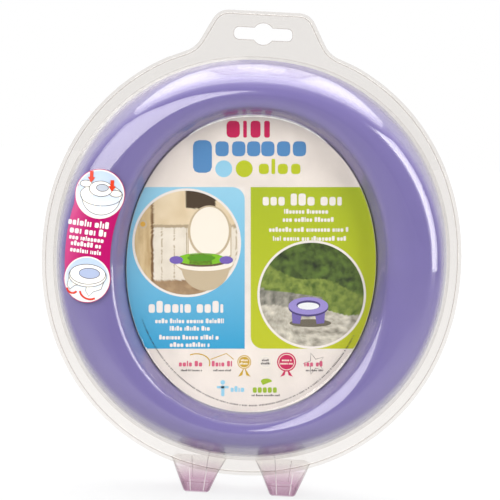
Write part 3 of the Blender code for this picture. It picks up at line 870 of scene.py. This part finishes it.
def drawing_at(ink, x, z, size, line=None):
    """Gives a function that fills outlines in units of a size round a place, with a line if wanted."""

    def part(outline, colour, layer):
        outline = np.array(outline) * size + np.array((x, z))
        ink.fill(outline, colour, layer)
        if line:
            ink.stroke(outline, line, LINE, layer + 1, closed=True)

    return part


def build_print(ink, name, material):
    """Makes the print's mesh with its points kept apart, so that each keeps its colour."""
    obj = mesh_object(name, np.vstack(ink.verts), ink.faces, material)
    colours = np.vstack(ink.colours)
    flat = np.hstack([colours, np.ones((len(colours), 1))]).astype(np.float32)
    obj.data.color_attributes.new("ink", "FLOAT_COLOR", "POINT").data.foreach_set("color", flat.ravel())
    obj.data.shade_smooth()
    return obj


def clouds(points, scale, seed, octaves=4):
    """Smooth noise from 0 to 1 at each point."""
    values = [noise.fractal(Vector((x * scale, z * scale, seed)), 0.8, 2.0, octaves) for x, z in points]
    return np.clip(0.5 + 0.6 * np.array(values), 0, 1)


def blend(low, high, share):
    """Colours between two, each given as 0 to 255, by shares from 0 to 1."""
    share = np.asarray(share)[:, None]
    return (1 - share) * np.array(linear(*low)) + share * np.array(linear(*high))


def over(colour, where, paint):
    """The colours of all points, with paint in place of them where it is said to lie."""
    return np.where(where[:, None], paint, colour)


WHITE = linear(234, 229, 225)
MAGENTA = linear(196, 22, 86)
TITLE_BLUE = linear(82, 138, 192)
VIOLET = linear(112, 92, 170)
LIME = linear(184, 196, 28)
SKY = linear(146, 204, 232)
INK_GREY = linear(96, 90, 90)
RED = linear(216, 62, 34)
GOLD = linear(196, 160, 30)
CREAM = linear(238, 232, 220)
LINE = linear(64, 58, 64)
SKETCH_LINE = 0.00032


def garden_picture(points):
    """Dark leaves, a lawn in the light, a stone wall and a pebbled path."""
    x, z = points[:, 0], points[:, 1]
    colour = blend((20, 34, 8), (96, 124, 44), clouds(points, 6.0, 3.0, 6))
    lawn = blend((66, 92, 22), (142, 160, 70), clouds(points, 8.0, 7.0, 5))
    colour = over(colour, z < 0.3 - 0.25 * x + 0.06 * np.sin(5 * x), lawn)
    wall = blend((88, 88, 80), (168, 166, 154), clouds(points, 9.0, 5.0, 4))
    colour = over(colour, (z < -0.02 - 0.14 * x) & (x < 0.2), wall)
    stones = clouds(points * np.array((0.7, 1.3)), 8.0, 11.0, 5)
    path = blend((128, 124, 112), (226, 222, 208), stones)
    return over(colour, z < -0.3 - 0.1 * x + 0.03 * np.sin(7 * x), path)


def bathroom_picture(points):
    """A panelled wall with a dark picture on it, a door post and a floor."""
    x, z = points[:, 0], points[:, 1]
    tone = clouds(points, 1.6, 5.0, 3)
    colour = blend((206, 184, 146), (236, 222, 194), tone)
    colour = over(colour, z < 0.3, blend((214, 206, 190), (240, 234, 222), tone))
    grooves = (np.abs((x * 4.2) % 1 - 0.5) > 0.47) & (z < 0.3)
    rail = np.abs(z - 0.32) < 0.028
    colour = over(colour, grooves | rail, linear(176, 160, 132))
    grain = clouds(points * np.array((1.0, 0.2)), 9.0, 2.0, 4)
    colour = over(colour, x < -0.66, blend((186, 158, 110), (222, 200, 158), grain))
    colour = over(colour, np.abs(x + 0.66) < 0.022, linear(120, 88, 54))
    colour = over(colour, (x > -0.02) & (x < 0.56) & (z > 0.66), linear(70, 54, 36))
    return over(colour, z < -0.72, blend((136, 108, 78), (184, 156, 120), clouds(points, 4.0, 9.0, 4)))


def oval(x, z, half_width, half_height, start=0, end=360, count=40):
    turns = np.radians(np.linspace(start, end, count, endpoint=(end - start) < 360))
    return pairs(x + half_width * np.cos(turns), z + half_height * np.sin(turns))


def card_strip(left, right, low, high):
    """The part of the card's face between four sides of the level print."""
    c, s = math.cos(LEAN), math.sin(LEAN)
    outline = superellipse(CARD_HALF.x * 0.998, CARD_HALF.z * 0.998) @ np.array([[c, -s], [s, c]])
    clipped = np.clip(outline, (left, low), (right, high))
    steps = np.abs(clipped - np.roll(clipped, 1, axis=0)).sum(axis=1)
    return clipped[steps > 1e-5]


def corner_filler(x, z, side, end, radius):
    """What a rounded corner at (x, z) leaves of its square: the panel lies to one side and end."""
    turns = np.radians(np.linspace(0, 90, 9))
    arc = pairs(x - side * radius * (1 - np.cos(turns)), z - end * radius * (1 - np.sin(turns)))
    points = np.vstack([[(x, z)], arc[::-1]])
    return points if side * end < 0 else points[::-1]


def make_card():
    outline = superellipse(CARD_HALF.x, CARD_HALF.z, 1)
    shell = Shell()
    shell.loft([at(outline, CARD_FRONT - 2 * CARD_HALF.y), at(outline, CARD_FRONT)], cap=True, base=True)
    place(shell.build("card_board", board), "pack_front", "printed_card", "insert_card")

    ink = Print(lambda points: np.full(len(points), CARD_FRONT), LEAN, (0, -DROP))
    top, bottom, radius = 0.0470, -0.0507, 0.0075

    def blue(points):
        return blend((38, 158, 206), (150, 208, 234), (points[:, 1] - bottom) / (top - bottom))

    def green(points):
        return blend((186, 194, 18), (168, 186, 28), (points[:, 1] - bottom) / (top - bottom))

    ink.fill(card_strip(-1, -0.0039, bottom, top), blue, 1, 0.008)
    ink.fill(card_strip(-0.0003, 1, bottom, top), green, 1, 0.008)
    ink.fill(corner_filler(-0.0039, top, 1, 1, radius), WHITE, 2)
    ink.fill(corner_filler(-0.0003, bottom, -1, -1, radius), WHITE, 2)
    for x, z, picture in ((-0.0389, 0.0134, bathroom_picture), (0.0365, -0.0179, garden_picture)):
        ink.fill(circle(x, z, 0.0328, 96), WHITE, 2)
        ink.disc(x, z, 0.0314, picture, 3, rings=44, count=160)
    draw_toilet(drawing_at(ink, -0.0389, 0.0134, 0.0314))
    draw_potty(drawing_at(ink, 0.0345, -0.0265, 0.0120))
    draw_card_words(ink)
    draw_badges(ink)
    place(build_print(ink, "card_print", board_print), "pack_front", "printed_card")


def draw_card_words(ink):
    """Plain blocks and discs in the places of the title, the headings and the lines under them."""
    top_row = ((-0.0148, -0.0068), (-0.0048, -0.0026), (-0.0004, 0.0056), (0.0078, 0.0112))
    ink.blocks(0.0767, 0.0868, top_row, MAGENTA)
    ink.blocks(0.0556, 0.0752, ((-0.0350, -0.0236),), TITLE_BLUE)
    lefts = (-0.0215, -0.0115, -0.0025, 0.0060, 0.0155, 0.0250)
    ink.blocks(0.0655, 0.0745, [(left, left + 0.0080) for left in lefts], TITLE_BLUE)
    for x, colour in ((-0.0165, SKY), (-0.0042, LIME)):
        ink.fill(circle(x, 0.0580, 0.0051, 40), colour, 1)
    ink.blocks(0.0548, 0.0610, ((0.0046, 0.0106), (0.0160, 0.0220), (0.0240, 0.0296)), LIME)
    ink.blocks(0.0548, 0.0640, ((0.0122, 0.0144),), LIME)
    rows = ((-0.0389, -0.0253, 0.0460, 0.0072), (-0.0370, -0.0338, 0.0420, 0.0029))
    rows += ((-0.0370, -0.0383, 0.0245, 0.0029), (-0.0376, -0.0437, 0.0360, 0.0029))
    rows += ((-0.0372, -0.0482, 0.0240, 0.0029), (0.0307, 0.0395, 0.0476, 0.0072))
    rows += ((0.0341, 0.0324, 0.0285, 0.0029), (0.0347, 0.0275, 0.0315, 0.0029))
    rows += ((0.0350, 0.0215, 0.0485, 0.0029), (0.0356, 0.0161, 0.0450, 0.0029))
    for number, (x, z, width, height) in enumerate(rows):
        ink.words(x, z, width, height, WHITE, 2, seed=50 + number)


def draw_toilet(part):
    """A toilet with its lid up and a green trainer seat on it, for the bathroom picture."""
    white, shade, dark = linear(242, 236, 224), linear(196, 180, 152), linear(104, 84, 60)
    green, cup = linear(128, 190, 40), linear(84, 140, 28)
    part(box_outline(0.02, 0.86, -0.30, 0.36, 0.06), shade, 4)
    part(box_outline(0.04, 0.84, -0.26, 0.34, 0.05), white, 5)
    part(oval(0.44, 0.22, 0.41, 0.50), shade, 6)
    part(oval(0.44, 0.23, 0.37, 0.46), white, 7)
    bowl = np.vstack([oval(0.34, -0.42, 0.56, 0.16, 0, 180), oval(0.36, -0.46, 0.46, 0.46, 190, 350)])
    part(bowl, shade, 7)
    part(oval(0.34, -0.40, 0.55, 0.14), white, 8)
    part(oval(0.30, -0.34, 0.50, 0.12), dark, 9)
    part(oval(0.28, -0.31, 0.46, 0.115), green, 10)
    part(oval(0.28, -0.29, 0.27, 0.060), cup, 11)
    for side in (-1, 1):
        part(oval(0.28 + side * 0.48, -0.33, 0.13, 0.075), VIOLET, 11)
    part(oval(-0.84, 0.36, 0.085, 0.085), shade, 4)
    part(oval(-0.84, 0.36, 0.05, 0.05), linear(214, 168, 70), 5)


def draw_potty(part):
    """A small potty on its two legs, for the garden picture."""
    dark, face, inner = linear(74, 62, 120), linear(150, 138, 204), linear(232, 236, 240)
    part(oval(0.1, -0.72, 1.05, 0.2), linear(104, 98, 84), 4)
    for side in (-1, 1):
        leg = [(side * 0.30, -0.1), (side * 0.86, 0.1), (side * 0.80, -0.72), (side * 0.42, -0.76)]
        part(leg if side < 0 else leg[::-1], linear(112, 98, 170), 5)
    part(oval(0, 0.05, 1.0, 0.44), dark, 6)
    part(oval(0, 0.15, 1.0, 0.44), face, 7)
    part(oval(0, 0.19, 0.60, 0.24), dark, 8)
    part(oval(0, 0.14, 0.54, 0.18), inner, 9)


def draw_badges(ink):
    """A row of plain rosettes and plates, two small marks and a curved line of fine print."""
    pale, z = linear(226, 222, 216), -0.0598
    for x, width, seed in ((-0.0362, 0.0150, 3), (-0.0176, 0.0125, 8), (0.0381, 0.0120, 2)):
        ink.words(x, z, width, 0.0034, linear(208, 92, 124), 2, seed)
        ink.words(x, z - 0.0040, width * 0.85, 0.0013, INK_GREY, 2, seed + 20)
    ink.stroke(oval(-0.0330, z + 0.0004, 0.0080, 0.0056, -20, 120, 24), 0.0007, GOLD, 1)
    ink.stroke([(-0.0246, z + 0.0026), (-0.0150, z + 0.0062), (-0.0106, z + 0.0026)], 0.0005, GOLD, 1)
    star = circle(0.0381, z, 0.0068, 10)
    star[::2] = circle(0.0381, z, 0.42 * 0.0068, 10)[::2]
    ink.stroke(star, 0.0004, INK_GREY, 1, closed=True)
    rosettes = ((-0.0042, GOLD, 0.0042), (0.0087, pale, 0.0044), (0.0214, MAGENTA, 0.0058))
    for x, colour, size in rosettes:
        for side in (-1, 1):
            tail = [(x, z - 0.002), (x + side * 0.0038, z - 0.0080), (x + side * 0.0012, z - 0.0070)]
            ink.fill(tail if side < 0 else tail[::-1], colour, 0.6)
        ink.fill(circle(x, z + 0.001, size, 20), colour, 1)
        ink.stroke(circle(x, z + 0.001, size * 0.82, 28), 0.0004, CREAM, 2, closed=True)
        letters = INK_GREY if colour is pale else CREAM
        for row, width in ((0.0022, 1.0), (0.0002, 1.3)):
            ink.words(x, z + row, size * width, 0.0014, letters, 3, seed=int(x * 1e4) % 17 + 3)
    ink.fill(circle(-0.0172, -0.0712, 0.0014, 20), SKY, 1)
    ink.blocks(-0.0796, -0.0730, ((-0.0182, -0.0162),), SKY)
    ink.blocks(-0.0748, -0.0734, ((-0.0208, -0.0136),), SKY)
    ink.words(-0.0080, -0.0752, 0.0090, 0.0036, SKY, 1, seed=12)
    green = linear(150, 182, 24)
    ink.fill(np.vstack([oval(0.0092, -0.0706, 0.0034, 0.0018, 0, 180, 16), [(0.0070, -0.0728)]]), green, 1)
    ink.words(0.0087, -0.0752, 0.0155, 0.0046, green, 1, seed=13)
    ink.words(0.0087, -0.0790, 0.0170, 0.0013, INK_GREY, 1, seed=14)
    draw = random.Random(21)
    degree = 203.0
    while degree < 330:
        length = draw.uniform(0.3, 0.5)
        ink.stroke(oval(0, 0, 0.0714, 0.0853, degree, degree + length, 3), 0.0010, INK_GREY, 1)
        degree += length + draw.choice((0.3, 0.3, 0.35, 0.9))


# The sticker's two discs: x, z and radius
LABEL_TOP = (-0.0919, 0.0369, 0.0150)
LABEL_BOTTOM = (-0.0971, -0.0140, 0.0140)


def label_outline():
    rim_width, rim_height = 0.1127, 0.1085

    def banner(share, start, end):
        z = np.linspace(start, end, 17)
        across = (1 - np.abs(z / (share * rim_height)) ** OUTLINE_POWER) ** (1 / OUTLINE_POWER)
        return pairs(-share * rim_width * across, z)

    top, bottom = LABEL_TOP, LABEL_BOTTOM
    inner = banner(0.745, bottom[1] + 0.002, top[1] - 0.008)
    outer = banner(0.985, top[1] - 0.006, bottom[1] + 0.004)
    upper = oval(*top[:2], top[2], top[2], -25, 185, 32)
    lower = oval(*bottom[:2], bottom[2], bottom[2], 170, 370, 32)
    return np.vstack([inner, upper, outer, lower])


def sky_disc(points):
    return blend((240, 242, 244), (182, 200, 222), np.clip(0.55 + 0.5 * points[:, 1], 0, 1))


def make_label():
    levels = moved_out(SEAT_LEVELS, SHEET_GAP + SHEET + 0.0005)
    ink = Print(lambda points: depth_on(levels, points), step=0.00005)

    def banner(points):
        share = np.clip((-points[:, 0] - 0.100) * 60 + points[:, 1] * 9, 0, 1)
        return blend((176, 14, 96), (206, 84, 140), share)

    ink.fill(label_outline(), banner, 0, 0.002)
    for x, z, radius in (LABEL_TOP, LABEL_BOTTOM):
        ink.disc(x, z, radius - 0.0004, lambda p: np.broadcast_to(WHITE, (len(p), 3)), 1, 6, 64)
        ink.disc(x, z, radius - 0.0012, sky_disc, 2, 8, 64)
    draw_toilet_sketch(ink, *LABEL_TOP)
    draw_potty_sketch(ink, *LABEL_BOTTOM)
    rows = ((-0.0974, 0.0193, 0.0250, 0.0041), (-0.0978, 0.0145, 0.0218, 0.0041))
    rows += ((-0.0982, 0.0102, 0.0215, 0.0029), (-0.0987, 0.0067, 0.0180, 0.0029))
    rows += ((-0.0987, 0.0028, 0.0185, 0.0029),)
    for number, (x, z, width, height) in enumerate(rows):
        ink.set_frame(math.radians(-4.5), (x, z))
        ink.words(0, 0, width, height, WHITE, 1, seed=30 + number)
    place(build_print(ink, "label_print", label_print), "pack_front", "printed_label", "side_label")


def draw_toilet_sketch(ink, x, z, r):
    """A line drawing of a trainer seat going down on a toilet."""
    part = drawing_at(ink, x, z, r, SKETCH_LINE)
    cream, face = linear(246, 242, 232), linear(250, 248, 242)
    bowl = [oval(0.06, -0.02, 0.84, 0.42, 0, 180, 24), oval(0.06, -0.1, 0.76, 0.72, 190, 350, 24)]
    part(np.vstack(bowl), cream, 3)
    ink.stroke(oval(0.06, -0.06, 0.82, 0.40, 185, 355, 24) * r + np.array((x, z)), 0.0003, LINE, 4)
    for side in (-1, 1):
        part(oval(0.04 + side * 0.60, 0.22 - side * 0.17, 0.24, 0.13), cream, 5)
    part(oval(0.04, 0.22, 0.46, 0.30), face, 7)
    part(oval(0.10, 0.26, 0.24, 0.14), linear(188, 194, 204), 9)
    arrow = ((0.07, 0.36), (-0.07, 0.36), (-0.07, 0.12), (-0.15, 0.12))
    arrow += ((0, -0.10), (0.15, 0.12), (0.07, 0.12))
    for left, top in ((-0.36, 0.54), (0.48, 0.22)):
        ink.fill([(x + (left + dx) * r, z + (top + dz) * r) for dx, dz in arrow], RED, 11)


def draw_potty_sketch(ink, x, z, r):
    """A line drawing of the potty with its legs folding out."""
    part = drawing_at(ink, x, z, r, SKETCH_LINE)
    cream = linear(246, 242, 232)
    left = [(-0.78, 0.06), (-0.84, -0.30), (-0.70, -0.46), (-0.52, -0.30), (-0.30, -0.24), (-0.30, 0.1)]
    right = [(0.02, 0.1), (-0.02, -0.50), (0.12, -0.72), (0.30, -0.52)]
    right += [(0.62, -0.40), (0.72, -0.1), (0.66, 0.2)]
    part(left, cream, 3)
    part(right, cream, 3)
    part(oval(0.02, 0.14, 0.80, 0.46), cream, 5)
    part(oval(0.02, 0.22, 0.76, 0.42), linear(250, 248, 242), 7)
    part(oval(0.10, 0.26, 0.44, 0.22), linear(170, 182, 210), 9)
    arrows = (oval(-0.60, -0.36, 0.24, 0.26, 190, 320, 14), oval(0.16, -0.44, 0.44, 0.40, 190, 300, 14))
    for points in arrows:
        ink.stroke(points * r + np.array((x, z)), 0.0011, RED, 11)


# Camera, floor and lights


def make_camera():
    distance, elevation = 1.25, math.radians(3.5)
    target = Vector((-0.0012, BACK_Y, CENTRE_Z + 0.0058))
    backwards = Vector((0, -math.cos(elevation), math.sin(elevation)))
    data = bpy.data.cameras.new("camera")
    data.sensor_width = 36
    frame_width = 0.3075  # metres across the picture at the seat's back edge
    data.lens = data.sensor_width * distance / frame_width
    camera = new_object("camera", data)
    turn = (-backwards).to_track_quat("-Z", "Y").to_matrix().to_4x4()
    turn @= Matrix.Rotation(LEAN, 4, "Z")
    camera.matrix_world = Matrix.Translation(target + backwards * distance) @ turn
    bpy.context.scene.camera = camera


def make_light(name, place_at, aim, width, height, power):
    data = bpy.data.lights.new(name, "AREA")
    data.shape = "RECTANGLE"
    data.size, data.size_y = width, height
    data.energy = power
    light = new_object(name, data)
    light.location = place_at
    light.rotation_euler = (Vector(aim) - Vector(place_at)).to_track_quat("-Z", "Y").to_euler()


def make_studio():
    bm = bmesh.new()
    bmesh.ops.create_circle(bm, cap_ends=True, segments=64, radius=12)
    mesh = bpy.data.meshes.new("floor")
    bm.to_mesh(mesh)
    bm.free()
    look = surface_material("floor_look", (0.13, 0.13, 0.13), 0.8, grain=200, bump=0.01, vary=0.004,
                            in_Emission_Color=(1, 1, 1, 1), in_Specular_IOR_Level=0.1)
    tree = look.node_tree
    stops = [(position, (glow,) * 3) for position, glow in ((0, 0.1), (0.15, 0.76), (1, 0.9))]
    glow = ramp_along(tree, tree.nodes["Texture Coordinate"], "Object", "Y", -0.7, 3.0, *stops)
    join(tree, (glow, "Color", tree.nodes["Principled BSDF"], "Emission Strength"))
    mesh.materials.append(look)
    new_object("floor", mesh)
    world = bpy.data.worlds.new("studio")
    bpy.context.scene.world = world
    world.use_nodes = True
    shade_world(world.node_tree)
    make_light("key", (-1.0, -1.6, 1.05), (0, 0, 0.15), 1.9, 1.5, 42)
    make_light("strip", (1.16, -0.87, 0.62), (0, 0, 0.15), 0.5, 1.2, 14)
    make_light("top", (0, 0.6, 1.4), (0, 0.6, 0), 2.2, 2.0, 32)
    bpy.context.scene.view_settings.view_transform = "Standard"


def shade_world(tree):
    """White behind the object and above it, and greyer in front, for soft contrast in reflections."""
    direction = node(tree, "TexCoord")
    stops = ((0, (0.12, 0.12, 0.125)), (1, (1, 1, 1)))
    fade = ramp_along(tree, direction, "Generated", "Y", -0.6, 0.1, *stops)
    join(tree, (fade, "Color", tree.nodes["Background"], "Color"))


def finish_cad_nodes():
    looks = {"frame_plastic": frame_plastic, "leg_plastic": seat_plastic, "pin_steel": steel}
    looks |= {"screw_steel": steel, "grip_rubber": rubber, "liner_film": liner_film, "bag_fabric": bag_cloth}
    for subpart in frame["record"]["subparts"]:
        if subpart["material_slot"] in looks:
            materials = frame["nodes"][subpart["node"]].data.materials
            materials.clear()
            materials.append(looks[subpart["material_slot"]])


make_camera()
make_seat()
make_front_blister()
make_rear_frame()
for side, side_name in ((-1, "left"), (1, "right")):
    make_leg(side, f"{side_name}_leg")
    make_rubber(side, side_name)
for number in (1, 2, 3):
    make_pad(f"folded_liner_{number}", f"liner_{number}", liner_film, 0.9, (-0.5, 0.0, 0.5), "liner_film")
make_pad("folded_travel_bag", "travel_bag", bag_cloth, 0.75, (-0.82, 0.1, 0.16), "bag_fabric",
         simulated=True, stitched=True)
make_card()
make_label()
finish_cad_nodes()
make_studio()
